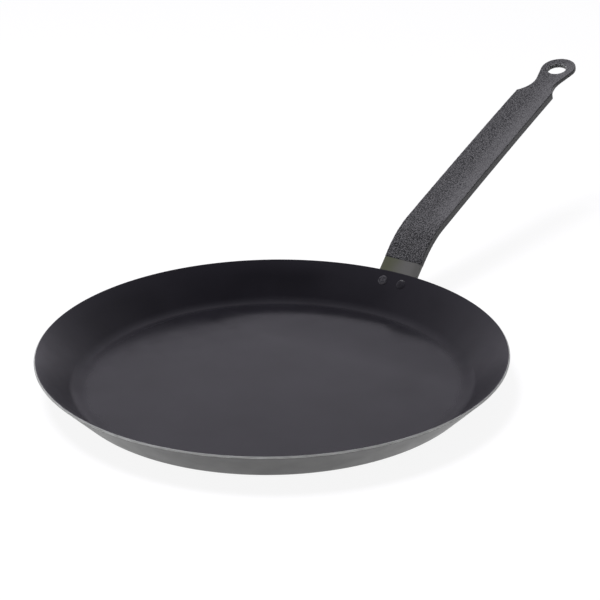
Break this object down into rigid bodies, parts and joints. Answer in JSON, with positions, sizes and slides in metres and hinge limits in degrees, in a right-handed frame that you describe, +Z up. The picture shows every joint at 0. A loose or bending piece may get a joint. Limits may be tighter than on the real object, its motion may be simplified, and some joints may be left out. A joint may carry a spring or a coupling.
{
  "type": "crepe pan",
  "caption": "Shallow round steel crepe pan with a low flared wall and a long bent strip handle, riveted to the wall, with a textured coating and a hanging hole in its eye.",
  "frame": {"origin": "middle of the dish's flat underside, on the table", "axes": "+X from the dish's middle toward the handle, +Z up, +Y to the left when looking from the dish along the handle"},
  "size_m": [0.4751, 0.2598, 0.1075],
  "materials": {
    "dish_steel": "dark satin blued sheet steel with a bright cut edge",
    "strip_steel": "bare hot rolled flat steel, slightly heat tinted",
    "handle_epoxy": "baked epoxy coating, dark grey, hammered texture",
    "rivet_steel": "dark steel, driven"
  },
  "bodies": {
    "root": {"pan_body": "dish_steel", "handle_strip": "strip_steel", "handle_coating": "handle_epoxy", "rivet_left": "rivet_steel", "rivet_right": "rivet_steel"}
  },
  "joints": []
}
